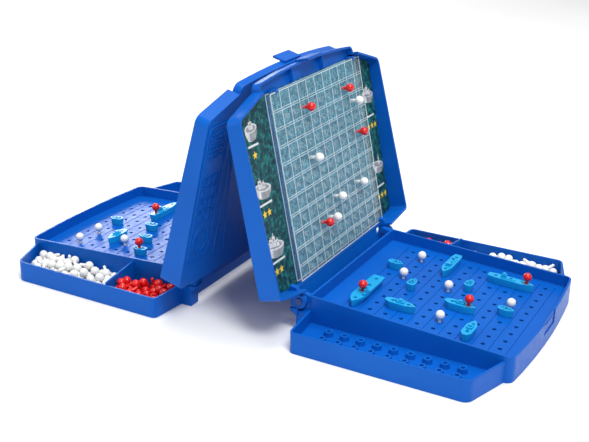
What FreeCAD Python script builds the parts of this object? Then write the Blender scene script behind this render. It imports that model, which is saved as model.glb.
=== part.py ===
import FreeCAD, Part
import math
import os

V = FreeCAD.Vector
os.makedirs("parts", exist_ok=True)

# ---------------------------------------------------------------- driving dimensions (mm)
PITCH = 15.0            # spacing of the ocean holes
TAU = math.atan(0.052)  # slope of the ocean floor, rim and lid, dropping toward the latch end
FLOOR_Z = 17.33         # ocean floor height at the middle of the grid
RIM_Z = 28.27           # main rim height at the middle of the grid
LID_TOP_Z = 36.4        # outer face of the closed lid at the middle of the grid
WALL = 2.0
PLATE = 1.8             # lid plate thickness
SKIN = 2.0              # floor thickness
U_HINGE = -98.5         # outside of the hinge-end wall
U_FAR = 87.3            # outside of the latch-end wall at its corners
BOW = 5.0               # how far the latch-end wall bows out
V_F, V_B = -96.0, 84.6  # outside of the main tray's two long walls
V_SHIP = -141.3         # outside of the ship tray
V_PEG = 128.0           # outside of the peg tray
SIDE_Z = 19.56          # rim of both side trays
SHIP_TRAY_FLOOR = 7.5
PEG_TRAY_FLOOR = 4.0
U_DIV = -38.0           # divider of the peg tray
HOLE_R = 1.9
PEG_R = 1.5             # peg stem
BALL_R = 4.15           # peg head
BALL_UP = 6.5           # head centre above the surface that the peg is pushed into
PEG_DEEP = 4.4          # stem below that surface
AX_U, AX_Z = -105.5, 28.0   # hinge axis
OPEN = 105.0            # how far the lid stands open at rest
PIN_R = 2.4
PIN_FIT = 0.05
GAP = 0.4               # closed lid to base
CELL = 15.6             # spacing of the target grid
PAN_U0, PAN_U1 = -94.9, 75.5    # clear panel, hinge side and latch side
PAN_V0, PAN_V1 = -80.3, 94.3
PAN_FRONT = 28.85       # front face of the panel at the middle of the grid, lid closed
PAN_BACK = 34.0
CASE_X, CASE_Y = 160.65, 10.25  # middle of case A's ocean grid from the origin; case B is turned half round

V_MID = (V_F + V_B) / 2
K = 0.052


def box(u0, u1, v0, v1, z0, z1):
    return Part.makeBox(u1 - u0, v1 - v0, z1 - z0, V(u0, v0, z0))


def poly_wire(pts, radii, z=0.0):
    """A closed wire of straight runs joined by corner arcs."""
    n = len(pts)
    ins, outs, mids = [], [], []
    for k in range(n):
        p = V(pts[k][0], pts[k][1], z)
        a = V(pts[k - 1][0], pts[k - 1][1], z) - p
        b = V(pts[(k + 1) % n][0], pts[(k + 1) % n][1], z) - p
        a.normalize()
        b.normalize()
        r = radii[k]
        half = a.getAngle(b) / 2
        if r <= 0:
            ins.append(p)
            outs.append(p)
            mids.append(None)
            continue
        t = r / math.tan(half)
        c = a + b
        c.normalize()
        centre = p + c * (r / math.sin(half))
        ins.append(p + a * t)
        outs.append(p + b * t)
        mids.append(centre - c * r)
    edges = []
    for k in range(n):
        if mids[k] is not None:
            edges.append(Part.Arc(ins[k], mids[k], outs[k]).toShape())
        s, e = outs[k], ins[(k + 1) % n]
        if s.distanceToPoint(e) > 1e-6:
            edges.append(Part.LineSegment(s, e).toShape())
    return Part.Wire(edges)


def prism(pts, radii, z0, z1):
    return Part.Face(poly_wire(pts, radii, z0)).extrude(V(0, 0, z1 - z0))


def wedge(z_low, z_high, slope_low=0.0, slope_high=K, reach=170.0):
    """Everything between two planes; a plane with a slope drops as u grows."""
    def at(z, s, u):
        return z - s * u
    pts = [V(-reach, -reach, at(z_low, slope_low, -reach)), V(reach, -reach, at(z_low, slope_low, reach)),
           V(reach, -reach, at(z_high, slope_high, reach)), V(-reach, -reach, at(z_high, slope_high, -reach))]
    return Part.Face(Part.makePolygon(pts + [pts[0]])).extrude(V(0, 2 * reach, 0))


def main_prism(grow, z0, z1, r_far=7.0, r_hinge=3.0):
    """The main tray's outline, grown or shrunk, with its bowed latch end."""
    half = (V_B - V_F) / 2
    radius = (half ** 2 + BOW ** 2) / (2 * BOW)
    pts = [(U_HINGE - grow, V_F - grow), (U_FAR + 20, V_F - grow), (U_FAR + 20, V_B + grow), (U_HINGE - grow, V_B + grow)]
    rh = max(r_hinge + grow, 0.6)
    body = prism(pts, [rh, 0, 0, rh], z0, z1)
    cyl = Part.makeCylinder(radius + grow, z1 - z0, V(U_FAR + BOW - radius, V_MID, z0))
    body = body.common(cyl).removeSplitter()
    rf = max(r_far + grow, 1.0)
    picks = []
    for e in body.Edges:
        b = e.BoundBox
        if b.ZLength > (z1 - z0) * 0.9 and b.XLength < 0.01 and b.YLength < 0.01 and b.XMin > U_FAR - 6:
            picks.append(e)
    if len(picks) == 2:
        body = body.makeFillet(rf, picks)
    return body


def side_pts(side, grow=0.0, lid=False):
    """Outline of a side tray as far as the main wall. side -1 is the ship tray, +1 the peg tray. grow moves the three outer sides."""
    if side < 0:
        outer, inner = V_SHIP, V_F
        u_h_out, u_h_in, u_f_out, u_f_in = (-89.5 if lid else -93.5), -98.0, 67.0, 81.2
    else:
        outer, inner = V_PEG, V_B
        u_h_out, u_h_in, u_f_out, u_f_in = -94.2, -98.0, 66.5, 81.2
    d = inner - outer
    lh = math.hypot(u_h_in - u_h_out, d)
    lf = math.hypot(u_f_in - u_f_out, d)
    # move each slanted end out by grow along its own normal, and the long side by grow
    eh = grow * lh / abs(d)
    ef = grow * lf / abs(d)
    so = grow if outer > inner else -grow
    def on_h(v):
        return u_h_out + (u_h_in - u_h_out) * (v - outer) / d - eh
    def on_f(v):
        return u_f_out + (u_f_in - u_f_out) * (v - outer) / d + ef
    vo = outer + so
    return [(on_h(inner), inner), (on_h(vo), vo), (on_f(vo), vo), (on_f(inner), inner)]


def side_prism(side, grow, z0, z1, lid=False, into=0.0):
    """A side tray's prism. into carries it past the main wall's outer face."""
    p = side_pts(side, grow, lid)
    r = [0, max(5.0 + grow, 1.0), max(8.0 + grow, 1.5), 0]
    body = prism(p, r, z0, z1)
    if into:
        inner = V_F if side < 0 else V_B
        lo, hi = (inner - 0.05, inner + into) if side < 0 else (inner - into, inner + 0.05)
        body = body.fuse(box(p[0][0], p[3][0], lo, hi, z0, z1))
    return body


def hole_uv(i, j):
    return (i - 4.5) * PITCH * math.cos(TAU), (j - 4.5) * PITCH


def on_floor(shape, u, v, yaw=0.0, up=0.0):
    """Stand a shape built about z=0 on the ocean floor at (u, v)."""
    s = shape.copy()
    if yaw:
        s.rotate(V(0, 0, 0), V(0, 0, 1), yaw)
    s.translate(V(0, 0, up))
    s.rotate(V(0, 0, 0), V(0, 1, 0), math.degrees(TAU))
    s.translate(V(u, v, FLOOR_Z - K * u))
    return s


# ---------------------------------------------------------------- base shell
def base_shell():
    outer = main_prism(0, 0, 60).common(wedge(-1, RIM_Z))
    ship = side_prism(-1, 0, 0, SIDE_Z, into=1.0)
    peg = side_prism(1, 0, 0, SIDE_Z, into=1.0)
    s = outer.fuse([ship, peg])
    # main tray: sea above the floor, and the hollow under it
    s = s.cut(main_prism(-WALL, -5, 60).common(wedge(FLOOR_Z, 70, K, K)))
    s = s.cut(main_prism(-WALL, -5, 60).common(wedge(-6, FLOOR_Z - SKIN)))
    # ship tray
    s = s.cut(side_prism(-1, -WALL, SHIP_TRAY_FLOOR, 60))
    s = s.cut(side_prism(-1, -WALL, -5, SHIP_TRAY_FLOOR - SKIN))
    # peg tray and its divider
    s = s.cut(side_prism(1, -WALL, PEG_TRAY_FLOOR, 60))
    s = s.cut(side_prism(1, -WALL, -5, PEG_TRAY_FLOOR - SKIN))
    div = [V(U_DIV - 0.9, V_B - 1.0, 2.5), V(U_DIV - 0.9, V_PEG - 1.0, 2.5), V(U_DIV - 0.9, V_PEG - 1.0, SIDE_Z - 0.3),
           V(U_DIV - 0.9, V_PEG - WALL - 0.5, SIDE_Z), V(U_DIV - 0.9, V_PEG - WALL - 0.9, 21.5), V(U_DIV - 0.9, V_B - 1.0, 27.6)]
    s = s.fuse(Part.Face(Part.makePolygon(div + [div[0]])).extrude(V(1.8, 0, 0)))
    # studs that park the ships
    studs, sockets = [], []
    for row_v in (-109.6, -123.2):
        for k in range(9):
            u = -71.5 + 15.25 * k
            studs.append(Part.makeCone(4.3, 3.7, 4.9, V(u, row_v, SHIP_TRAY_FLOOR - 0.4)))
            sockets.append(Part.makeCylinder(1.75, 4.2, V(u, row_v, SHIP_TRAY_FLOOR + 0.5)))
    s = s.fuse(studs).cut(Part.makeCompound(sockets))
    # hinge feet: post, bearing cheek and stop shelf on each side
    for flip in (0, 1):
        post = box(-108.0, -97.2, -101.8, -90.0, 0, 18.6)
        disc = Part.makeCylinder(6.5, 5.9, V(AX_U, -95.9, AX_Z), V(0, 1, 0))
        web = Part.Face(Part.makePolygon([V(-97.2, -95.9, 12), V(-112.0, -95.9, 18), V(-112.0, -95.9, AX_Z), V(-105.5, -95.9, AX_Z + 6.5), V(-97.2, -95.9, AX_Z + 4.6), V(-97.2, -95.9, 12)])).extrude(V(0, 5.9, 0))
        shelf_pts = [V(-106.3, -103.0, 21.1), V(-113.5, -103.0, 21.1), V(-113.5, -103.0, 18.8), V(-108.0, -103.0, 15.0), V(-106.3, -103.0, 15.0)]
        shelf = Part.Face(Part.makePolygon(shelf_pts + [shelf_pts[0]])).extrude(V(0, 13.0, 0))
        foot = post.fuse([disc, web, shelf])
        foot = foot.cut(Part.makeCylinder(PIN_R + PIN_FIT, 40, V(AX_U, -120, AX_Z), V(0, 1, 0)))
        if flip:
            foot = foot.mirror(V(0, V_MID, 0), V(0, 1, 0))
        s = s.fuse(foot)
    # nothing of the feet may stand inside the trays
    s = s.cut(main_prism(-WALL, -5, 60).common(wedge(FLOOR_Z, 70, K, K)))
    # latch recess with its catch ridge on the bowed end
    recess = (main_prism(3, 11.0, 60).cut(main_prism(-1.0, 5, 60))).common(box(60, 110, V_MID - 15.5, V_MID + 15.5, 11.0, 60))
    s = s.cut(recess)
    ridge = (main_prism(-0.3, 19.3, 20.7).cut(main_prism(-1.3, 10, 40))).common(box(60, 110, V_MID - 12.0, V_MID + 12.0, 19.3, 20.7))
    s = s.fuse(ridge)
    # cell grooves and the hundred holes
    cuts = []
    g0, g1 = -5 * PITCH, 5 * PITCH
    for k in range(11):
        c = -5 * PITCH + k * PITCH
        shape = box(c - 0.3, c + 0.3, g0, g1, -0.45, 2.0)
        shape.rotate(V(0, 0, 0), V(0, 1, 0), math.degrees(TAU))
        shape.translate(V(0, 0, FLOOR_Z))
        cuts.append(shape)
    grid = cuts[0].fuse(cuts[1:])
    s = s.cut(grid)
    drills = []
    for i in range(10):
        for j in range(10):
            u, v = hole_uv(i, j)
            drills.append(on_floor(Part.makeCylinder(HOLE_R, 8.0, V(0, 0, -5)), u, v))
    s = s.cut(Part.makeCompound(drills))
    return s.removeSplitter()


def cut_up(base):
    """The one moulding as touching solids along its own walls, floors, studs and feet, none of them hollow."""
    far = 200.0

    def zone(shape, u0=-far, u1=far, v0=-far, v1=far, z0=-10.0, z1=80.0):
        return [x for x in shape.common(box(u0, u1, v0, v1, z0, z1)).Solids if x.Volume > 0.01]

    inner = main_prism(-WALL, -5, 60)
    out = list(base.common(inner).Solids)
    rest = base.cut(inner)
    # hinge feet, each in an outer half and a bearing half
    for v0, v1 in ((-far, -95.9), (-95.9, V_MID), (V_MID, V_F + V_B + 95.9), (V_F + V_B + 95.9, far)):
        out += zone(rest, u1=U_HINGE, v0=v0, v1=v1)
    # main walls
    hinge_in = U_HINGE + WALL
    out += zone(rest, U_HINGE, hinge_in, V_F, V_B)
    out += zone(rest, hinge_in, 80, V_F, V_MID)
    out += zone(rest, hinge_in, 80, V_MID, V_B)
    steps = [V_F, V_F + 12, V_MID - 15.5, V_MID + 15.5, V_B - 12, V_B]
    for v0, v1 in zip(steps, steps[1:]):
        out += zone(rest, 80, far, v0, v1)
    # side trays
    for side, v0, v1, top, edge in ((-1, -far, V_F, SHIP_TRAY_FLOOR, V_SHIP + WALL), (1, V_B, far, PEG_TRAY_FLOOR, V_PEG - WALL)):
        tray = rest.common(box(U_HINGE, far, v0, v1, -10, 80))
        room = side_prism(side, -WALL, -5, 60)
        inside = tray.common(room)
        walls = tray.cut(room)
        out += zone(inside, z1=top)
        out += zone(inside, z0=top)
        if side < 0:
            out += zone(walls, v1=edge)
            out += zone(walls, u1=0, v0=edge)
            out += zone(walls, u0=0, v0=edge)
        else:
            out += zone(walls, v0=edge)
            out += zone(walls, u1=0, v1=edge)
            out += zone(walls, u0=0, v1=edge)
    return out


# ---------------------------------------------------------------- lid, built closed and then swung open
def swing(shape, angle=OPEN):
    s = shape.copy()
    s.rotate(V(AX_U, 0, AX_Z), V(0, 1, 0), -angle)
    return s


def lid_shell():
    top = wedge(-20, LID_TOP_Z)
    inside = wedge(-20, LID_TOP_Z - PLATE)
    s = main_prism(0, 0, 60).fuse([side_prism(-1, 0, SIDE_Z + GAP, 60, True, 4.0), side_prism(1, 0, SIDE_Z + GAP, 60, True, 4.0)])
    s = s.common(top)
    hollow = main_prism(-WALL, -5, 60).fuse([side_prism(-1, -WALL, -5, 60, True, 4.0), side_prism(1, -WALL, -5, 60, True, 4.0)])
    s = s.cut(hollow.common(inside))
    # room for the base's main tray
    s = s.cut(main_prism(GAP, -5, 60, r_hinge=0.1).common(wedge(-6, RIM_Z + GAP)))
    # short ribs inside the latch end
    for v in (V_MID - 29.0, V_MID + 29.0):
        s = s.fuse(box(77.0, 90.5, v - 0.6, v + 0.6, 10, 60).common(wedge(29.6, LID_TOP_Z - 1.0, K, K)))
    # latch tongue with its hook
    tongue = main_prism(2.2, 16.0, 60).cut(main_prism(GAP, 0, 60)).common(box(60, 110, V_MID - 14.5, V_MID + 14.5, 16.0, 60)).common(wedge(-10, LID_TOP_Z - 2.4, 0, K))
    root = main_prism(2.2, 26.0, 60).cut(main_prism(-1.0, 0, 60)).common(box(60, 110, V_MID - 14.5, V_MID + 14.5, 26.0, 60)).common(wedge(RIM_Z + GAP + 1.0, LID_TOP_Z - 2.4, K, K))
    hook = main_prism(GAP + 0.2, 16.4, 18.2).cut(main_prism(-0.5, 0, 60)).common(box(60, 110, V_MID - 12.0, V_MID + 12.0, 16.4, 18.2))
    s = s.fuse([tongue, root, hook])
    s = swing(s)
    # ears, in the open position, with flat soles that rest on the stop shelves; their tips leave room for the panel
    room = swing(tilt(box(PAN_U0 - 0.3, PAN_U1 + 0.3, PAN_V0 - 0.3, PAN_V1 + 0.3, -0.3, PAN_BACK - PAN_FRONT), PAN_FRONT))
    for flip in (0, 1):
        p = [V(0, 0, 6.6), V(-3.0, 0, 12.5), V(-9.2, 0, 13.5), V(-11.5, 0, 7.0), V(-9.0, 0, 4.8), V(-7.2, 0, -6.6), V(0, 0, -6.6)]
        p = [V(AX_U + q.x, -101.6, AX_Z + q.z) for q in p]
        edges = [Part.makePolygon(p).Edges, [Part.Arc(p[-1], V(AX_U + 6.6, -101.6, AX_Z), p[0]).toShape()]]
        ear = Part.Face(Part.Wire(edges[0] + edges[1])).extrude(V(0, 4.9, 0))
        ear = ear.cut(Part.makeCylinder(PIN_R + 0.03, 40, V(AX_U, -120, AX_Z), V(0, 1, 0)))
        if flip:
            ear = ear.mirror(V(0, V_MID, 0), V(0, 1, 0))
        s = s.fuse(ear.cut(room))
    return s.removeSplitter()


def hinge_pins():
    out = []
    for flip in (0, 1):
        pin = Part.makeCylinder(PIN_R, 13.6, V(AX_U, -102.4, AX_Z), V(0, 1, 0)).fuse(Part.makeCylinder(3.3, 0.9, V(AX_U, -102.7, AX_Z), V(0, 1, 0)))
        pin = pin.removeSplitter()
        if flip:
            pin = pin.mirror(V(0, V_MID, 0), V(0, 1, 0))
        out.append(pin)
    return Part.makeCompound(out)


def tilt(shape, z):
    """Lay a shape built flat about z=0 in the lid's plane at height z, lid closed."""
    s = shape.copy()
    s.rotate(V(0, 0, 0), V(0, 1, 0), math.degrees(TAU))
    s.translate(V(0, 0, z))
    return s


def cell_uv(row, col):
    """Middle of a target cell; row 0 and column 0 are the plain headers."""
    return PAN_U1 - CELL * (row + 0.5) - 0.3, PAN_V0 + (PAN_V1 - PAN_V0) / 11 * (col + 0.5)


def target_panel():
    deep = PAN_BACK - PAN_FRONT
    s = box(PAN_U0, PAN_U1, PAN_V0, PAN_V1, 0, deep)
    s = s.cut(box(PAN_U0 + 1.2, PAN_U1 - 1.2, PAN_V0 + 1.2, PAN_V1 - 1.2, 1.2, deep + 1))
    holes = []
    for r in range(1, 11):
        for c in range(1, 11):
            u, v = cell_uv(r, c)
            holes.append(Part.makeCylinder(1.7, 6, V(u, v, -2)))
    s = s.cut(Part.makeCompound(holes))
    return s


def backing_card():
    shape = main_prism(-WALL - 0.5, 0, 60).fuse([side_prism(-1, -WALL - 0.5, 0, 60, True, 4.0), side_prism(1, -WALL - 0.5, 0, 60, True, 4.0)])
    top = LID_TOP_Z - PLATE - 0.03
    s = shape.common(wedge(top - 0.5, top, K, K))
    return s.common(box(-97, 76.5, -200, 200, 0, 60)).removeSplitter()


def peg(ball_up=BALL_UP, deep=PEG_DEEP):
    """One turned profile: chamfered tip, straight stem and ball head."""
    neck = ball_up - math.sqrt(BALL_R ** 2 - PEG_R ** 2)
    a, b, c, d = V(0, 0, -deep), V(PEG_R * 0.35, 0, -deep), V(PEG_R, 0, -deep + 1.2), V(PEG_R, 0, neck)
    top = V(0, 0, ball_up + BALL_R)
    edges = Part.makePolygon([a, b, c, d]).Edges
    edges += [Part.Arc(d, V(BALL_R, 0, ball_up), top).toShape(), Part.LineSegment(top, a).toShape()]
    return Part.makeSolid(Part.Face(Part.Wire(edges)).revolve(V(0, 0, 0), V(0, 0, 1), 360))


def lid_peg(row, col):
    """A peg in the target panel, head toward the player."""
    p = peg()
    p.rotate(V(0, 0, 0), V(1, 0, 0), 180)
    u, v = cell_uv(row, col)
    p.translate(V(u, v, 0))
    return swing(tilt(p, PAN_FRONT))


# ---------------------------------------------------------------- ships
def hull(length, beam, height, bow, stern_taper, foot=0.78):
    """A hull along +u: pointed bow, tapered or square stern, sides that lean in toward the keel."""
    def outline(f, z, trim):
        h = beam / 2 * f
        l0, l1 = -length / 2 + trim, length / 2 - trim
        st = h * (1 - stern_taper)
        pts = [(l0, -st), (l0 + length * 0.16, -h), (l1 - bow, -h), (l1 - bow * 0.45, -h * 0.66), (l1, -h * 0.10),
               (l1, h * 0.10), (l1 - bow * 0.45, h * 0.66), (l1 - bow, h), (l0 + length * 0.16, h), (l0, st)]
        return Part.makePolygon([V(a, b, z) for a, b in pts] + [V(pts[0][0], pts[0][1], z)])
    low = outline(foot, 0.0, 0.9)
    mid = outline(0.94, height * 0.62, 0.25)
    top = outline(1.0, height, 0.0)
    return Part.makeLoft([low, mid, top], True, True)


def ship(n, kind):
    deck = 7.0
    if n == 1:
        s = hull(15.0, 8.2, deck, 6.0, 0.45)
        s = s.cut(hull(12.4, 5.8, 1.4, 5.0, 0.45, 1.0).translated(V(0, 0, deck - 0.9)))
        s = s.fuse(Part.makeCone(3.0, 2.6, 1.6, V(0, 0, deck - 1.2)))
    elif n == 2:
        s = hull(29.0, 9.4, deck, 10.0, 0.55)
        s = s.fuse([box(-3.2, 3.6, -2.6, 2.6, deck - 0.5, deck + 1.6), box(-1.6, 1.8, -1.7, 1.7, deck + 1.0, deck + 3.0),
                    Part.makeCylinder(1.0, 2.4, V(-4.3, 0, deck - 0.5))])
    elif n == 3:
        s = hull(44.0, 9.6, deck, 11.0, 0.25)
        s = s.fuse([box(-9.6, 4.4, -2.9, -0.0 + 2.9, deck - 0.5, deck + 0.8)])
        if kind == 0:
            s = s.fuse([box(-9.0, -4.6, -2.3, 2.3, deck, deck + 3.4), box(-8.2, -5.6, -1.4, 1.4, deck + 3.0, deck + 4.6)])
        else:
            s = s.fuse([box(4.6, 9.6, -2.3, 2.3, deck - 0.5, deck + 3.0), Part.makeCylinder(1.3, 3.6, V(-6.6, 0, deck - 0.4))])
    else:
        s = hull(60.0, 12.6, deck, 13.0, 0.12, 0.62)
        s = s.fuse([box(6.0, 16.0, 3.6, 6.6, deck - 2.2, deck + 2.2), box(9.0, 13.4, 3.9, 6.3, deck + 2.0, deck + 4.6),
                    Part.makeCylinder(0.7, 6.6, V(11.2, 5.1, deck + 1.0))])
    keels = []
    for k in range(n):
        u = (k - (n - 1) / 2) * PITCH
        s = s.cut(Part.makeCylinder(1.65, 20.0, V(u, 0, deck - 4.7)))
        if k in (0, n - 1):
            keels.append(Part.makeCylinder(1.55, 3.0, V(u, 0, -2.2)))
    return s.fuse(keels).removeSplitter()


def ship_at(n, kind, i0, j0, along, yaw=0.0):
    """A ship whose first hole is (i0, j0) and that runs along u or v."""
    di, dj = (n - 1, 0) if along == "u" else (0, n - 1)
    (ua, va), (ub, vb) = hole_uv(i0, j0), hole_uv(i0 + di, j0 + dj)
    turn = yaw + (0.0 if along == "u" else 90.0)
    return on_floor(ship(n, kind), (ua + ub) / 2, (va + vb) / 2, turn, 0.15)


def peg_at(i, j, up=0.0):
    u, v = hole_uv(i, j)
    return on_floor(peg(), u, v, 0.0, up)


DECK_UP = 7.0 + 0.15     # deck of a seated ship above the ocean floor

# (name, cells, kind, first hole i, j, direction, extra turn, hole that carries a red peg)
FLEET_A = [
    ("carrier", 4, 0, 0, 0, "v", 180.0, (0, 1)),
    ("cruiser_1", 3, 0, 6, 8, "u", 0.0, (8, 8)),
    ("cruiser_2", 3, 1, 3, 7, "v", 180.0, None),
    ("destroyer_1", 2, 0, 2, 1, "u", 0.0, None),
    ("destroyer_2", 2, 0, 5, 3, "u", 0.0, (6, 3)),
    ("destroyer_3", 2, 0, 7, 0, "v", 0.0, None),
    ("patrol_boat_1", 1, 0, 0, 6, "u", 0.0, None),
    ("patrol_boat_2", 1, 0, 2, 4, "v", 0.0, None),
    ("patrol_boat_3", 1, 0, 5, 6, "v", 0.0, None),
    ("patrol_boat_4", 1, 0, 8, 4, "u", 0.0, None),
]
FLEET_B = [
    ("carrier", 4, 0, 0, 1, "v", 0.0, None),
    ("cruiser_1", 3, 0, 6, 0, "v", 180.0, (6, 2)),
    ("cruiser_2", 3, 1, 2, 0, "v", 180.0, None),
    ("destroyer_1", 2, 0, 6, 6, "v", 0.0, None),
    ("destroyer_2", 2, 0, 2, 4, "v", 0.0, None),
    ("destroyer_3", 2, 0, 0, 6, "u", 0.0, None),
    ("patrol_boat_1", 1, 0, 8, 4, "u", 0.0, None),
    ("patrol_boat_2", 1, 0, 5, 4, "u", 0.0, None),
    ("patrol_boat_3", 1, 0, 4, 6, "u", 0.0, None),
    ("patrol_boat_4", 1, 0, 3, 8, "u", 0.0, (3, 8)),
]
OCEAN_WHITE = {"a": [(1, 8), (1, 5), (4, 5), (5, 1), (8, 5)], "b": [(8, 8), (8, 6), (5, 7)]}
TARGET_RED = {"a": [(1, 3), (1, 8), (4, 9), (8, 3)], "b": [(2, 4), (5, 7)]}
TARGET_WHITE = {"a": [(4, 3), (2, 9), (7, 8), (7, 5), (8, 4)], "b": [(3, 3), (6, 6), (8, 5), (4, 8)]}

# loose pegs lying in the peg tray: middle of the head, then the unit direction of the stem (case axes)
HEAP_RED = [
    (-85.08, 97.01, 8.32, 0.1322, -0.9503, -0.2818), (-62.6, 98.79, 8.32, 0.2347, -0.9303, -0.2818),
    (-68.43, 105.03, 8.32, 0.683, 0.6738, -0.2819), (-49.95, 102.34, 8.32, 0.9588, 0.0351, -0.2818),
    (-51.99, 112.33, 8.32, 0.6582, -0.6981, -0.2818), (-77.22, 89.17, 8.32, 0.8645, -0.2819, 0.4162),
    (-58.93, 106.75, 8.32, 0.8576, 0.1297, 0.4977), (-64.14, 121.43, 8.32, 0.8221, -0.4946, -0.2818),
    (-49.55, 121.43, 8.32, 0.9285, 0.242, -0.2818), (-43.47, 96.78, 8.32, -0.8756, -0.3923, -0.2819),
    (-85.59, 109.9, 8.32, -0.283, 0.9168, -0.2819), (-55.21, 89.17, 8.32, 0.996, 0.0898, 0.0009),
    (-84.53, 89.17, 12.74, -0.516, 0.4104, -0.7519), (-70.92, 96.86, 8.32, -0.9404, 0.2122, -0.2657),
    (-75.92, 113.8, 8.32, 0.5888, 0.7575, -0.2819), (-65.49, 113.32, 10.65, 0.8472, 0.0438, -0.5295),
    (-57.49, 95.06, 14.06, 0.1419, 0.428, -0.8926), (-79.76, 121.43, 8.32, 0.9171, 0.2819, -0.2818),
    (-55.1, 103.2, 15.08, 0.917, 0.3068, -0.2551), (-57.94, 117.05, 12.22, -0.1444, -0.9696, 0.1976),
    (-43.47, 111.79, 8.32, -0.7324, -0.1111, 0.6718), (-86.73, 103.36, 13.78, 0.4825, 0.1527, -0.8625),
    (-65.83, 89.48, 8.32, 0.089, 0.1286, 0.9877), (-71.95, 121.42, 11.78, 0.5045, -0.5684, -0.6499),
    (-77.99, 98.21, 12.92, -0.0869, -0.9883, 0.125), (-86.73, 118.35, 12.17, 0.5475, -0.4712, -0.6915),
    (-43.47, 101.74, 15.27, 0.2493, 0.4153, -0.8748), (-72.45, 91.69, 14.94, 0.128, -0.1049, -0.9862),
    (-76.96, 105.33, 8.32, -0.4861, 0.6454, 0.5892), (-49.71, 116.59, 15.35, -0.5973, 0.6801, -0.4251),
    (-43.47, 110.16, 16.7, 0.2819, 0.7567, -0.5898),
]
HEAP_WHITE = [
    (-3.8, 120.93, 8.32, -0.9468, -0.1554, -0.2819), (3.74, 101.55, 8.32, 0.5315, 0.7988, -0.2819),
    (-17.93, 97.66, 8.32, 0.8773, -0.3885, -0.2819), (35.35, 111.95, 8.32, 0.0968, 0.9546, -0.2819),
    (-31.36, 98.92, 8.32, 0.5026, 0.8173, -0.2819), (28.77, 102.51, 8.32, -0.9285, -0.2417, -0.2818),
    (16.85, 113.63, 8.32, 0.9224, 0.2639, -0.2819), (68.73, 97.03, 8.32, 0.3846, -0.879, -0.2819),
    (14.82, 89.17, 8.32, -0.8441, 0.4561, -0.2818), (-9.26, 114.36, 8.32, -0.5341, 0.8328, 0.1456),
    (-4.7, 89.18, 8.32, -0.9243, -0.2573, -0.2819), (36.73, 99.42, 8.32, 0.606, 0.7439, 0.2818),
    (23.95, 95.46, 8.32, 0.1248, -0.9513, -0.2818), (22.31, 120.93, 8.32, -0.9558, 0.0839, -0.2819),
    (45.21, 100.47, 8.32, -0.7598, 0.5859, -0.2818), (44.35, 89.17, 8.32, -0.7988, -0.2819, 0.5315),
    (4.4, 112.1, 8.32, -0.5314, -0.7989, -0.2818), (69.26, 89.17, 11.61, -0.6408, 0.4354, -0.6323),
    (34.9, 89.68, 8.32, 0.0371, 0.0177, 0.9992), (47.24, 120.93, 8.32, -0.9171, 0.2819, -0.2819),
    (25.01, 110.18, 8.32, -0.6452, -0.7101, -0.2819), (3.84, 89.17, 8.32, -0.6671, 0.6896, -0.2818),
    (7.09, 120.93, 8.32, -0.8374, -0.4682, -0.2819), (65.81, 105.11, 8.32, -0.3394, -0.8974, -0.2819),
    (59.02, 110.29, 8.32, -0.385, 0.8788, -0.2819), (-9.77, 100.18, 8.32, 0.1152, 0.9525, -0.2819),
    (52.93, 89.44, 8.32, -0.7181, -0.3102, 0.623), (13.76, 105.67, 8.32, 0.936, -0.3207, 0.1449),
    (29.15, 89.17, 14.61, -0.1469, 0.2721, -0.951), (60.3, 120.62, 8.32, -0.9062, 0.3152, -0.2819),
    (11.21, 97.42, 8.32, 0.8477, -0.4545, 0.2736), (39.25, 119.76, 11.14, -0.8622, -0.1114, 0.4942),
    (41.57, 95.06, 13.84, 0.7027, -0.0532, -0.7095), (-18.87, 89.17, 8.32, 0.9455, -0.2819, 0.1628),
    (-21.52, 105.41, 8.32, -0.4739, 0.8343, -0.2819), (14.7, 120.93, 12.19, -0.0772, -0.9765, 0.2012),
    (40.51, 109.74, 15.43, -0.4668, -0.4415, -0.7663), (43.81, 113.11, 8.32, 0.8695, 0.4057, -0.2818),
    (57.4, 97.37, 8.32, 0.2701, -0.9206, -0.2819), (9.33, 91.68, 14.36, 0.9782, 0.2048, -0.0347),
    (8.56, 115.64, 14.88, -0.7859, 0.4956, -0.3697), (18.04, 99.43, 13.04, 0.7937, -0.5829, 0.1738),
    (53.64, 116.34, 11.62, 0.5766, 0.77, 0.2731), (-30.55, 115.84, 8.32, -0.4931, 0.8231, -0.2819),
    (30.85, 120.93, 8.32, 0.4505, -0.6805, 0.5779), (60.72, 89.17, 11.8, -0.9219, -0.2819, 0.2656),
    (-4.18, 107.22, 9.76, 0.2482, -0.8654, -0.4353), (31.37, 97.41, 14.66, 0.9116, 0.4039, -0.077),
    (24.17, 105.01, 15.07, 0.4182, 0.8897, -0.1832), (52.73, 104.51, 8.32, 0.8706, 0.1225, 0.4766),
    (-15.57, 107.21, 14.18, 0.3325, -0.2649, -0.9051), (1.54, 109.13, 15.8, 0.6928, -0.3107, -0.6508),
    (32.48, 106.93, 14.61, -0.2494, 0.1829, -0.951), (-29.23, 107.54, 11.29, -0.6327, 0.4924, -0.5978),
    (50.56, 96, 13.24, -0.6752, -0.7297, 0.1077), (-0.43, 95.32, 12.43, -0.6937, 0.0441, -0.7189),
    (-17.7, 113.04, 8.32, 0.8139, -0.5673, 0.1254), (-11.71, 92.62, 11.79, 0.7057, -0.6485, 0.2855),
    (49.03, 109.6, 14.1, -0.4382, 0.8888, -0.1343), (-20.97, 120.93, 8.32, 0.9366, 0.2082, -0.2819),
]


def heap_peg(x, y, z, dx, dy, dz):
    d = V(dx, dy, dz)
    d.normalize()
    p = peg()
    p.translate(V(0, 0, -BALL_UP))
    p.Placement = FreeCAD.Placement(V(x, y, z), FreeCAD.Rotation(V(0, 0, -1), d)).multiply(p.Placement)
    return p


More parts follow.
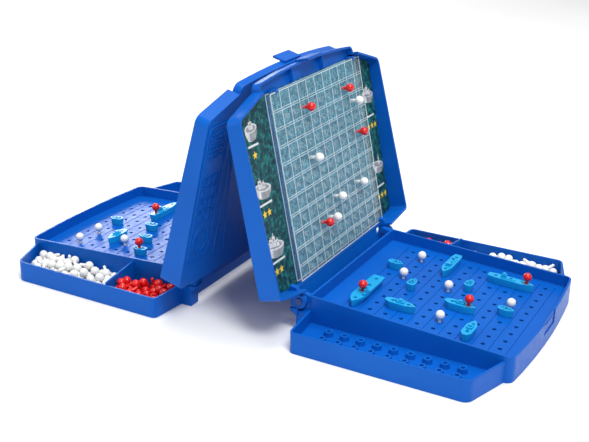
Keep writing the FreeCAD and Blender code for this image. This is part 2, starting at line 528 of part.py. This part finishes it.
# ---------------------------------------------------------------- the two cases
def place(shape, case):
    s = shape.copy()
    if case == "a":
        s.translate(V(CASE_X, CASE_Y, 0))
    else:
        s.rotate(V(0, 0, 0), V(0, 0, 1), 180)
        s.translate(V(-CASE_X, -CASE_Y, 0))
    return s


def save(name, shape):
    solids = shape.Solids
    bad = [k for k, x in enumerate(solids) if not x.isValid()]
    print(name, "solids", len(solids), "volume", round(shape.Volume, 1), "bad" if bad else "")
    shape.exportStep("parts/" + name + ".step")


whole = base_shell()
bits = cut_up(whole)
print("base in", len(bits), "solids, volume", round(sum(x.Volume for x in bits), 2), "of", round(whole.Volume, 2))
base = Part.makeCompound(bits)
lid = lid_shell()
pins = hinge_pins()
panel = swing(tilt(target_panel(), PAN_FRONT))
card = swing(backing_card())

for case, fleet in (("a", FLEET_A), ("b", FLEET_B)):
    save("base_shell_" + case, place(base, case))
    save("lid_shell_" + case, place(lid, case))
    save("hinge_pins_" + case, place(pins, case))
    save("target_panel_" + case, place(panel, case))
    save("backing_card_" + case, place(card, case))
    for name, n, kind, i0, j0, along, turn, hit in fleet:
        save(name + "_" + case, place(ship_at(n, kind, i0, j0, along, turn), case))
        if hit:
            save("hit_peg_" + name + "_" + case, place(peg_at(hit[0], hit[1], DECK_UP), case))
    save("ocean_white_pegs_" + case, place(Part.makeCompound([peg_at(i, j) for i, j in OCEAN_WHITE[case]]), case))
    save("target_red_pegs_" + case, place(Part.makeCompound([lid_peg(r, c) for r, c in TARGET_RED[case]]), case))
    save("target_white_pegs_" + case, place(Part.makeCompound([lid_peg(r, c) for r, c in TARGET_WHITE[case]]), case))
    if HEAP_RED:
        save("tray_red_pegs_" + case, place(Part.makeCompound([heap_peg(*h) for h in HEAP_RED]), case))
    if HEAP_WHITE:
        save("tray_white_pegs_" + case, place(Part.makeCompound([heap_peg(*h) for h in HEAP_WHITE]), case))
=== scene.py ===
import bpy
import bmesh
import math
from mathutils import Matrix, Vector


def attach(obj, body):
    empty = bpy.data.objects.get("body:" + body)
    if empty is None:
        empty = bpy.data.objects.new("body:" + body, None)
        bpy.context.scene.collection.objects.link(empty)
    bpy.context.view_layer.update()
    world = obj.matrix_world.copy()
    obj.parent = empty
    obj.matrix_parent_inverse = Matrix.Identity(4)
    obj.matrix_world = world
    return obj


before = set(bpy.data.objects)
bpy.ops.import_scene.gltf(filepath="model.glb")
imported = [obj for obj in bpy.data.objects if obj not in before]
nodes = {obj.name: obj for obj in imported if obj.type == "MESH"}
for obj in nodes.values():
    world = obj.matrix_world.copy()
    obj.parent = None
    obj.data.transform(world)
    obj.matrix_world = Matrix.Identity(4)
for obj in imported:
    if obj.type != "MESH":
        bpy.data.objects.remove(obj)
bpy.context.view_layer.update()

# ------------------------------------------------------------------ frame of each case, mm
K = 0.052
TAU = math.atan(K)
AX_U, AX_Z = -105.5, 28.0
CASE = {"a": Matrix.Translation((0.16065, 0.01025, 0)),
        "b": Matrix.Translation((-0.16065, -0.01025, 0)) @ Matrix.Rotation(math.pi, 4, "Z")}
AXLE = Matrix.Translation((AX_U, 0, AX_Z))
SWING = AXLE @ Matrix.Rotation(math.radians(-105.0), 4, "Y") @ AXLE.inverted()
MM = Matrix.Scale(0.001, 4)
PAN_U1, PAN_V0, PAN_V1 = 75.5, -80.3, 94.3
CELL_U, CELL_V = 15.6, (94.3 + 80.3) / 11
PAN_FRONT = 28.85
LID_TOP = 36.4
FLAT_PANEL = Matrix.Translation((0, 0, PAN_FRONT)) @ Matrix.Rotation(TAU, 4, "Y")


def lid_world(case):
    return CASE[case] @ MM @ SWING


# ------------------------------------------------------------------ materials
def ramp(nt, fac, stops):
    r = nt.nodes.new("ShaderNodeValToRGB")
    while len(r.color_ramp.elements) < len(stops):
        r.color_ramp.elements.new(0.5)
    for e, (p, c) in zip(r.color_ramp.elements, stops):
        e.position = p
        e.color = (c[0], c[1], c[2], 1.0)
    nt.links.new(fac, r.inputs["Fac"])
    return r.outputs["Color"]


def noise(nt, co, scale, detail=3.0, rough=0.5):
    n = nt.nodes.new("ShaderNodeTexNoise")
    n.inputs["Scale"].default_value = scale
    n.inputs["Detail"].default_value = detail
    n.inputs["Roughness"].default_value = rough
    nt.links.new(co, n.inputs["Vector"])
    return n.outputs["Fac"]


def plastic(name, lo, hi, rough=(0.28, 0.4), round_mm=0.5, grain=2600.0, bump=0.04, coat=0.0, coat_rough=0.15, ior=1.5, alpha=1.0, sheen_scale=9.0, spec=0.5):
    m = bpy.data.materials.new(name)
    m.use_nodes = True
    nt = m.node_tree
    b = nt.nodes["Principled BSDF"]
    co = nt.nodes.new("ShaderNodeTexCoord").outputs["Object"]
    cloud = noise(nt, co, sheen_scale, 4.0, 0.55)
    nt.links.new(ramp(nt, cloud, [(0.3, lo), (0.7, hi)]), b.inputs["Base Color"])
    fine = noise(nt, co, 140.0, 6.0, 0.65)
    mr = nt.nodes.new("ShaderNodeMapRange")
    mr.inputs["From Min"].default_value = 0.3
    mr.inputs["From Max"].default_value = 0.7
    mr.inputs["To Min"].default_value = rough[0]
    mr.inputs["To Max"].default_value = rough[1]
    nt.links.new(fine, mr.inputs["Value"])
    nt.links.new(mr.outputs["Result"], b.inputs["Roughness"])
    tooth = noise(nt, co, grain, 2.0, 0.5)
    bp = nt.nodes.new("ShaderNodeBump")
    bp.inputs["Strength"].default_value = bump
    bp.inputs["Distance"].default_value = 0.0002
    nt.links.new(tooth, bp.inputs["Height"])
    if round_mm:
        bv = nt.nodes.new("ShaderNodeBevel")
        bv.samples = 4
        bv.inputs["Radius"].default_value = round_mm / 1000.0
        nt.links.new(bv.outputs["Normal"], bp.inputs["Normal"])
    nt.links.new(bp.outputs["Normal"], b.inputs["Normal"])
    b.inputs["IOR"].default_value = ior
    b.inputs["Specular IOR Level"].default_value = spec
    b.inputs["Coat Weight"].default_value = coat
    b.inputs["Coat Roughness"].default_value = coat_rough
    b.inputs["Alpha"].default_value = alpha
    m.diffuse_color = (hi[0], hi[1], hi[2], alpha)
    return m


def card_material():
    m = bpy.data.materials.new("printed_card")
    m.use_nodes = True
    nt = m.node_tree
    b = nt.nodes["Principled BSDF"]
    tc = nt.nodes.new("ShaderNodeTexCoord").outputs["Object"]
    blotch = noise(nt, tc, 210.0, 5.0, 0.7)
    sea = noise(nt, tc, 260.0, 5.0, 0.75)
    dark = ramp(nt, blotch, [(0.36, (0.002, 0.018, 0.032)), (0.47, (0.004, 0.042, 0.058)), (0.55, (0.008, 0.10, 0.105)), (0.66, (0.02, 0.21, 0.19))])
    light = ramp(nt, sea, [(0.38, (0.008, 0.085, 0.15)), (0.5, (0.03, 0.18, 0.27)), (0.62, (0.12, 0.36, 0.44))])
    sep = nt.nodes.new("ShaderNodeSeparateXYZ")
    nt.links.new(tc, sep.inputs["Vector"])
    # the band behind the clear panel; |y| of its middle differs between the cases, so both are tested
    def band(lo, hi):
        a = nt.nodes.new("ShaderNodeMath")
        a.operation = "GREATER_THAN"
        a.inputs[1].default_value = lo
        nt.links.new(sep.outputs["Y"], a.inputs[0])
        c = nt.nodes.new("ShaderNodeMath")
        c.operation = "LESS_THAN"
        c.inputs[1].default_value = hi
        nt.links.new(sep.outputs["Y"], c.inputs[0])
        d = nt.nodes.new("ShaderNodeMath")
        d.operation = "MULTIPLY"
        nt.links.new(a.outputs[0], d.inputs[0])
        nt.links.new(c.outputs[0], d.inputs[1])
        return d.outputs[0]
    return m, nt, b, dark, light, band


def card(case):
    m, nt, b, dark, light, band = card_material()
    m.name = "printed_card_" + case
    s = 1 if case == "a" else -1
    y0, y1 = sorted([s * (0.01025 + (PAN_V0 + 0.5) / 1000), s * (0.01025 + (PAN_V1 - 0.5) / 1000)])
    mix = nt.nodes.new("ShaderNodeMix")
    mix.data_type = "RGBA"
    nt.links.new(band(y0, y1), mix.inputs["Factor"])
    a_in = [i for i in mix.inputs if i.name == "A" and i.type == "RGBA"][0]
    b_in = [i for i in mix.inputs if i.name == "B" and i.type == "RGBA"][0]
    out = [o for o in mix.outputs if o.type == "RGBA"][0]
    nt.links.new(dark, a_in)
    nt.links.new(light, b_in)
    # painted shade: a darker blue strip on the card along the panel's v0 side, standing in for the shade at the foot
    # of the clear side wall
    y2, y3 = sorted([s * (0.01025 + (PAN_V0 - 1.0) / 1000), s * (0.01025 + (PAN_V0 + 6.5) / 1000)])
    painted_wall_shade = ramp(nt, noise(nt, nt.nodes.new("ShaderNodeTexCoord").outputs["Object"], 230.0, 5.0, 0.7), [(0.34, (0.004, 0.03, 0.10)), (0.66, (0.012, 0.12, 0.30))])
    mix2 = nt.nodes.new("ShaderNodeMix")
    mix2.data_type = "RGBA"
    nt.links.new(band(y2, y3), mix2.inputs["Factor"])
    nt.links.new(out, [i for i in mix2.inputs if i.name == "A" and i.type == "RGBA"][0])
    nt.links.new(painted_wall_shade, [i for i in mix2.inputs if i.name == "B" and i.type == "RGBA"][0])
    nt.links.new([o for o in mix2.outputs if o.type == "RGBA"][0], b.inputs["Base Color"])
    b.inputs["Roughness"].default_value = 0.55
    b.inputs["Specular IOR Level"].default_value = 0.22
    return m


BLUE = plastic("case_blue", (0.0015, 0.088, 0.43), (0.002, 0.108, 0.50), (0.30, 0.42), 0.8, bump=0.05, spec=0.14)
NAVY = plastic("pin_navy", (0.004, 0.03, 0.16), (0.006, 0.045, 0.22), (0.3, 0.42), 0.3)
CYAN = plastic("ship_cyan", (0.004, 0.30, 0.62), (0.008, 0.37, 0.72), (0.26, 0.36), 0.45, sheen_scale=60.0, spec=0.4)
RED = plastic("peg_red", (0.62, 0.004, 0.004), (0.78, 0.010, 0.007), (0.14, 0.22), 0.2, coat=0.35, coat_rough=0.06, sheen_scale=80.0)
WHITE = plastic("peg_white", (0.76, 0.76, 0.74), (0.88, 0.88, 0.85), (0.2, 0.3), 0.2, coat=0.25, coat_rough=0.1, sheen_scale=80.0)
CLEAR = plastic("clear_panel", (0.45, 0.66, 0.75), (0.62, 0.80, 0.86), (0.06, 0.12), 0.3, coat=0.0, alpha=0.07)
RIB = plastic("clear_ribs", (0.70, 0.84, 0.88), (0.88, 0.95, 0.96), (0.10, 0.2), 0.0, alpha=0.5)
BOSS = plastic("clear_bosses", (0.60, 0.80, 0.88), (0.80, 0.93, 0.97), (0.08, 0.16), 0.0, alpha=0.13)
GREY = plastic("print_grey", (0.36, 0.38, 0.39), (0.74, 0.75, 0.75), (0.4, 0.5), 0.0, sheen_scale=170.0)
SHADE = plastic("print_shade", (0.16, 0.18, 0.20), (0.32, 0.34, 0.36), (0.4, 0.5), 0.0, sheen_scale=170.0)
PALE = plastic("print_pale", (0.52, 0.56, 0.55), (0.72, 0.75, 0.73), (0.4, 0.5), 0.0, sheen_scale=220.0)
STAR = plastic("print_yellow", (0.72, 0.44, 0.01), (0.90, 0.64, 0.03), (0.4, 0.5), 0.0, sheen_scale=220.0)


def paint(o, mat):
    if not o.material_slots:
        o.data.materials.append(mat)
    for s in o.material_slots:
        s.material = mat


CARD = {c: card(c) for c in "ab"}
for name, o in nodes.items():
    if name.startswith(("base_shell", "lid_shell")):
        paint(o, BLUE)
    elif name.startswith("hinge_pins"):
        paint(o, NAVY)
    elif name.startswith("target_panel"):
        paint(o, CLEAR)
    elif name.startswith("backing_card"):
        paint(o, CARD[name[-1]])
    elif "white_pegs" in name:
        paint(o, WHITE)
    elif "red_pegs" in name or name.startswith("hit_peg"):
        paint(o, RED)
    else:
        paint(o, CYAN)


# ------------------------------------------------------------------ mesh helpers (mm, in the closed lid's axes)
def new_piece(name, bm, world, mat, body):
    bmesh.ops.recalc_face_normals(bm, faces=bm.faces)
    bm.transform(world)
    me = bpy.data.meshes.new(name)
    bm.to_mesh(me)
    bm.free()
    me.materials.append(mat)
    o = bpy.data.objects.new(name, me)
    bpy.context.scene.collection.objects.link(o)
    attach(o, body)
    return o


def bar(bm, u0, u1, v0, v1, w0, w1, chamfer=0.0):
    """A bar whose w1 side is chamfered."""
    c = chamfer
    low = [(u0, v0, w0), (u1, v0, w0), (u1, v1, w0), (u0, v1, w0)]
    top = [(u0 + c, v0 + c, w1), (u1 - c, v0 + c, w1), (u1 - c, v1 - c, w1), (u0 + c, v1 - c, w1)]
    vs = [bm.verts.new(p) for p in low + top]
    for f in ((0, 3, 2, 1), (4, 5, 6, 7), (0, 1, 5, 4), (1, 2, 6, 5), (2, 3, 7, 6), (3, 0, 4, 7)):
        bm.faces.new([vs[i] for i in f])


def ring(bm, u, v, r0, r1, w0, w1, n=20):
    """A round rib, crowned at w1."""
    prof = [(r0, w0), (r0, w1 * 0.8 + w0 * 0.2), ((r0 + r1) / 2, w1), (r1, w1 * 0.8 + w0 * 0.2), (r1, w0)]
    rows = []
    for k in range(n):
        a = 2 * math.pi * k / n
        rows.append([bm.verts.new((u + r * math.cos(a), v + r * math.sin(a), w)) for r, w in prof])
    for k in range(n):
        p, q = rows[k], rows[(k + 1) % n]
        for i in range(len(prof)):
            j = (i + 1) % len(prof)
            bm.faces.new((p[i], p[j], q[j], q[i]))


def plate(bm, pts, w0, w1):
    """A flat printed shape of any outline."""
    lo = [bm.verts.new((a, b, w0)) for a, b in pts]
    hi = [bm.verts.new((a, b, w1)) for a, b in pts]
    n = len(pts)
    bm.faces.new(lo[::-1])
    bm.faces.new(hi)
    for k in range(n):
        bm.faces.new((lo[k], lo[(k + 1) % n], hi[(k + 1) % n], hi[k]))


def bead(bm, pts, width, w0, w1, closed=True):
    """A low rounded ridge that follows a path."""
    n = len(pts)
    rows = []
    for k in range(n):
        p = Vector(pts[k])
        a = Vector(pts[(k - 1) % n]) if (closed or k > 0) else p
        b = Vector(pts[(k + 1) % n]) if (closed or k < n - 1) else p
        t = (b - a).normalized()
        s = Vector((-t.y, t.x))
        row = []
        for q in (-1.0, -0.7, 0.0, 0.7, 1.0):
            h = math.sqrt(max(0.0, 1 - q * q))
            row.append(bm.verts.new((p.x + s.x * q * width / 2, p.y + s.y * q * width / 2, w0 + (w1 - w0) * h)))
        rows.append(row)
    last = n if closed else n - 1
    for k in range(last):
        p, q = rows[k], rows[(k + 1) % n]
        for i in range(4):
            bm.faces.new((p[i], p[i + 1], q[i + 1], q[i]))
        bm.faces.new((p[4], p[0], q[0], q[4]))
    if not closed:
        bm.faces.new(rows[0])
        bm.faces.new(rows[-1][::-1])


def round_rect(u0, u1, v0, v1, r, n=6):
    pts = []
    for cu, cv, a0 in ((u1 - r, v1 - r, 0), (u0 + r, v1 - r, 90), (u0 + r, v0 + r, 180), (u1 - r, v0 + r, 270)):
        for k in range(n + 1):
            a = math.radians(a0 + 90.0 * k / n)
            pts.append((cu + r * math.cos(a), cv + r * math.sin(a)))
    return pts


def star(cu, cv, r, turn=0.0):
    return [(cu + (r if k % 2 == 0 else r * 0.45) * math.cos(math.radians(36 * k + turn)),
             cv + (r if k % 2 == 0 else r * 0.45) * math.sin(math.radians(36 * k + turn))) for k in range(10)]


def card_z(u):
    """Inner face of the card, lid closed."""
    return LID_TOP - 1.8 - 0.53 - K * u


SHEAR_CARD = Matrix(((1, 0, 0, 0), (0, 1, 0, 0), (-K, 0, 1, 34.07), (0, 0, 0, 1)))
SHEAR_TOP = Matrix(((1, 0, 0, 0), (0, 1, 0, 0), (-K, 0, 1, LID_TOP), (0, 0, 0, 1)))


def picture(hullm, shade, u, v, long, kind):
    """A generic toy ship: an oval deck seen from above, a hull that tapers below it, and stepped towers. Nothing real is drawn."""
    s = long / 2
    d = s * (0.42 if kind == 1 else 0.30)
    drop = s * (1.05 if kind == 1 else 0.72)
    lean = 0.0 if kind == 1 else 0.16
    def at(q, h):
        return (u + h - lean * q * s, v + q * s)
    deck = [at(math.cos(2 * math.pi * k / 28), d * math.sin(2 * math.pi * k / 28)) for k in range(28)]
    low = [(-0.99, 0.0), (-0.96, -drop * 0.35), (-0.62, -drop), (0.05, -drop * 1.1), (0.58, -drop), (0.95, -drop * 0.4), (0.99, 0.0)]
    plate(hullm, [at(q, h) for q, h in low], -0.10, 0.0)
    mid = [(-0.30, -d * 0.85), (-0.34, -drop * 1.0), (0.05, -drop * 1.1), (0.58, -drop), (0.95, -drop * 0.4), (0.99, 0.0), (0.45, -d * 0.8)]
    plate(shade, [at(q, h) for q, h in mid], -0.13, -0.10)
    plate(hullm, deck, -0.18, -0.10)
    rim = [at(0.78 * math.cos(2 * math.pi * k / 24), d * 0.66 * math.sin(2 * math.pi * k / 24)) for k in range(24)]
    plate(shade, rim, -0.21, -0.18)
    for q, w, h in {1: ((0.0, 0.34, 0.62),), 2: ((-0.28, 0.26, 0.5), (0.15, 0.16, 0.36)), 3: ((-0.42, 0.2, 0.42), (-0.08, 0.2, 0.58), (0.32, 0.15, 0.34)), 4: ((0.22, 0.14, 0.62),)}[kind]:
        plate(hullm, [at(q - w, -d * 0.25), at(q - w * 0.8, s * h), at(q + w * 0.8, s * h), at(q + w, -d * 0.25)], -0.27, -0.21)
        plate(shade, [at(q - w * 0.5, s * h * 0.45), at(q - w * 0.45, s * h * 0.72), at(q + w * 0.45, s * h * 0.72), at(q + w * 0.5, s * h * 0.45)], -0.30, -0.27)
        plate(hullm, [at(q - 0.03, s * h), at(q - 0.03, s * h * 1.35), at(q + 0.04, s * h * 1.35), at(q + 0.04, s * h)], -0.27, -0.21)


for case in "ab":
    body = "lid_" + case
    W = lid_world(case)
    # ribs that frame the cells of the clear panel
    bm = bmesh.new()
    u_top, u_bot = PAN_U1 - 0.3, PAN_U1 - 0.3 - 11 * CELL_U
    for k in range(12):
        u = max(u_top - CELL_U * k, -94.5)
        if k in (0, 11):
            bar(bm, max(u - 0.35, -94.8), min(u + 0.35, 75.4), PAN_V0 + 0.2, PAN_V1 - 0.2, 0.0, -0.45, 0.12)
        else:
            for d in (-1.0, 1.0):
                bar(bm, u + d - 0.26, u + d + 0.26, PAN_V0 + 0.2, PAN_V1 - 0.2, 0.0, -0.45, 0.1)
    for k in range(12):
        v = PAN_V0 + CELL_V * k
        v = min(max(v, PAN_V0 + 0.45), PAN_V1 - 0.45)
        bar(bm, max(u_bot, -94.7), u_top, v - 0.3, v + 0.3, 0.0, -0.4, 0.1)
    for w in (0.15, 4.95):
        bar(bm, -94.8, 75.4, PAN_V0 - 0.2, PAN_V0 + 0.35, w, w - 0.45, 0.08)
        bar(bm, -94.8, 75.4, PAN_V1 - 0.35, PAN_V1 + 0.2, w, w - 0.45, 0.08)
        bar(bm, -95.0, -94.4, PAN_V0, PAN_V1, w, w - 0.45, 0.08)
        bar(bm, 75.1, 75.7, PAN_V0, PAN_V1, w, w - 0.45, 0.08)
    new_piece("panel_ribs_" + case, bm, W @ FLAT_PANEL, RIB, body)
    # tubes behind each hole and a raised ring in front
    bm = bmesh.new()
    for r in range(1, 11):
        for c in range(1, 11):
            u, v = PAN_U1 - CELL_U * (r + 0.5) - 0.3, PAN_V0 + CELL_V * (c + 0.5)
            ring(bm, u, v, 1.75, 2.35, 1.2, 4.7)
            ring(bm, u, v, 1.9, 2.7, 0.0, -0.3)
    new_piece("panel_bosses_" + case, bm, W @ FLAT_PANEL, BOSS, body)
    # lugs that clip the panel at the latch end
    bm = bmesh.new()
    for v in (PAN_V0 + 12.0, PAN_V1 - 12.0):
        bar(bm, 75.7, 78.0, v - 7.0, v + 7.0, 4.8, 1.6, 0.5)
        bar(bm, 74.2, 76.4, v - 2.6, v + 2.6, 0.2, -0.7, 0.35)
    new_piece("panel_lugs_" + case, bm, W @ FLAT_PANEL, BLUE, body)
    # printed pictures: ships, plain bars and stars
    hullm, shade, bars, stars = bmesh.new(), bmesh.new(), bmesh.new(), bmesh.new()
    for u, v, size, kind, nb in ((54.0, -111.0, 19.0, 1, 1), (2.0, -108.5, 26.0, 2, 2), (-51.0, -105.5, 29.0, 3, 2)):
        picture(hullm, shade, u, v, size, kind)
        plate(bars, [(u - 15.5, v - size * 0.42), (u - 13.6, v - size * 0.42), (u - 13.6, v + size * 0.42), (u - 15.5, v + size * 0.42)], -0.08, 0.0)
        for q in range(nb):
            plate(stars, star(u - 23.0, v + (q - (nb - 1) / 2) * 7.6, 3.7, 0.0), -0.08, 0.0)
    for u, v, size, kind, nb in ((34.0, 112.5, 24.0, 3, 3), (-40.0, 112.5, 24.0, 4, 3)):
        picture(hullm, shade, u, v, size, kind)
        plate(bars, [(u - 23.5, v - 9.0), (u - 21.7, v - 9.0), (u - 21.7, v + 8.0), (u - 23.5, v + 8.0)], -0.08, 0.0)
        for q in range(nb):
            plate(stars, star(u - 33.0, v + (q - 1) * 7.6, 3.5, 0.0), -0.08, 0.0)
    new_piece("card_pictures_" + case, hullm, W @ SHEAR_CARD, GREY, body)
    new_piece("card_picture_shade_" + case, shade, W @ SHEAR_CARD, SHADE, body)
    new_piece("card_bars_" + case, bars, W @ SHEAR_CARD, PALE, body)
    new_piece("card_stars_" + case, stars, W @ SHEAR_CARD, STAR, body)
    # low raised work on the outside of the lid
    bm = bmesh.new()
    H = 0.85
    for s in (-1, 1):
        m = -6.65
        e0, e1 = (91.0, 124.0) if s > 0 else (-135.0, -97.0)
        bead(bm, round_rect(-70.0, 60.0, e0, e1, 6.0), 1.0, 0.0, H)
        for a in range(7):
            for b in range(5):
                u, v = 53.0 - 3.8 * a, (e0 + e1) / 2 + (b - 2) * 4.6
                bead(bm, [(u + 0.9 * math.cos(t * math.pi / 3), v + 0.9 * math.sin(t * math.pi / 3)) for t in range(6)], 0.7, 0.0, H)
        for a in range(4):
            for b in range(3):
                u, v = 8.0 - 11.5 * a, (e0 + e1) / 2 + (b - 1) * 8.6
                bead(bm, round_rect(u - 4.2, u + 4.2, v - 3.4, v + 3.4, 0.8, 2), 0.7, 0.0, H * 0.8)
        cu, cv = -51.0, (e0 + e1) / 2
        bead(bm, [(cu + 12 * math.cos(t * math.pi / 16), cv + 12 * math.sin(t * math.pi / 16)) for t in range(32)], 0.9, 0.0, H)
        for t in range(4):
            a = math.radians(45 * t + 20)
            bead(bm, [(cu + 3.5 * math.cos(a), cv + 3.5 * math.sin(a)), (cu + 9.5 * math.cos(a), cv + 9.5 * math.sin(a))], 0.9, 0.0, H, False)
    # the long ridges
    for v0, v1 in ((82.2, 79.6), (76.0, 62.3), (-95.0, -92.0), (-88.0, -74.0)):
        bead(bm, [(62.0, v0), (14.6, v0), (-76.0, v1)], 2.4, 0.0, H, False)
    new_piece("lid_relief_" + case, bm, W @ SHEAR_TOP, BLUE, body)
    # the lid's spine: a lip behind the hinge line that hides the gap when the lid is open
    bm = bmesh.new()
    bar(bm, -111.6, -98.4, -89.0, 77.6, 34.0, 35.9, 0.35)
    new_piece("lid_spine_" + case, bm, W, BLUE, body)

# ------------------------------------------------------------------ floor, light, camera
bpy.ops.mesh.primitive_grid_add(x_subdivisions=8, y_subdivisions=8, size=40.0, location=(0, 0, -0.0002))
floor = bpy.context.object
floor.name = "studio_floor"
fm = bpy.data.materials.new("pale_floor")
fm.use_nodes = True
fb = fm.node_tree.nodes["Principled BSDF"]
fco = fm.node_tree.nodes.new("ShaderNodeTexCoord").outputs["Object"]
fm.node_tree.links.new(ramp(fm.node_tree, noise(fm.node_tree, fco, 3.0), [(0.3, (0.90, 0.90, 0.905)), (0.7, (0.93, 0.93, 0.93))]), fb.inputs["Base Color"])
fb.inputs["Roughness"].default_value = 0.7
paint(floor, fm)

world = bpy.data.worlds.new("studio")
bpy.context.scene.world = world
world.use_nodes = True
bg = world.node_tree.nodes["Background"]
bg.inputs["Color"].default_value = (1.0, 1.0, 1.0, 1.0)
bg.inputs["Strength"].default_value = 0.46


def area(name, place, aim, size, power, colour=(1, 1, 1)):
    d = bpy.data.lights.new(name, "AREA")
    d.shape = "DISK"
    d.size = size
    d.energy = power
    d.color = colour
    o = bpy.data.objects.new(name, d)
    o.location = place
    o.rotation_euler = (Vector(aim) - Vector(place)).to_track_quat("-Z", "Y").to_euler()
    bpy.context.scene.collection.objects.link(o)
    return o


area("key", (1.0, -0.8, 1.9), (0.1, 0, 0.05), 0.8, 34)
area("fill", (-1.5, -1.1, 0.9), (0, 0, 0.08), 1.2, 6)
area("glare", (-1.42, 1.46, 0.64), (-0.2, 0, 0.02), 0.7, 10)
area("top", (0.1, 0.3, 2.2), (0, 0, 0), 1.4, 26)

AZ, EL, ROLL = -0.4938, 0.382, 0.0202
fw = Vector((math.sin(AZ) * math.cos(EL), math.cos(AZ) * math.cos(EL), -math.sin(EL)))
rt = Vector((math.cos(AZ), -math.sin(AZ), 0.0))
up = rt.cross(fw)
rt2 = rt * math.cos(ROLL) + up * math.sin(ROLL)
up2 = -rt * math.sin(ROLL) + up * math.cos(ROLL)
cd = bpy.data.cameras.new("photo_view")
cd.sensor_fit = "HORIZONTAL"
cd.sensor_width = 36.0
cd.lens = 63.26
cd.clip_start = 0.01
cam = bpy.data.objects.new("photo_view", cd)
R = Matrix((rt2, up2, -fw)).transposed()
cam.matrix_world = Matrix.Translation((0.43728, -0.81230, 0.43212)) @ R.to_4x4()
bpy.context.scene.collection.objects.link(cam)
bpy.context.scene.camera = cam
bpy.context.scene.view_settings.view_transform = "Standard"

bpy.context.view_layer.update()
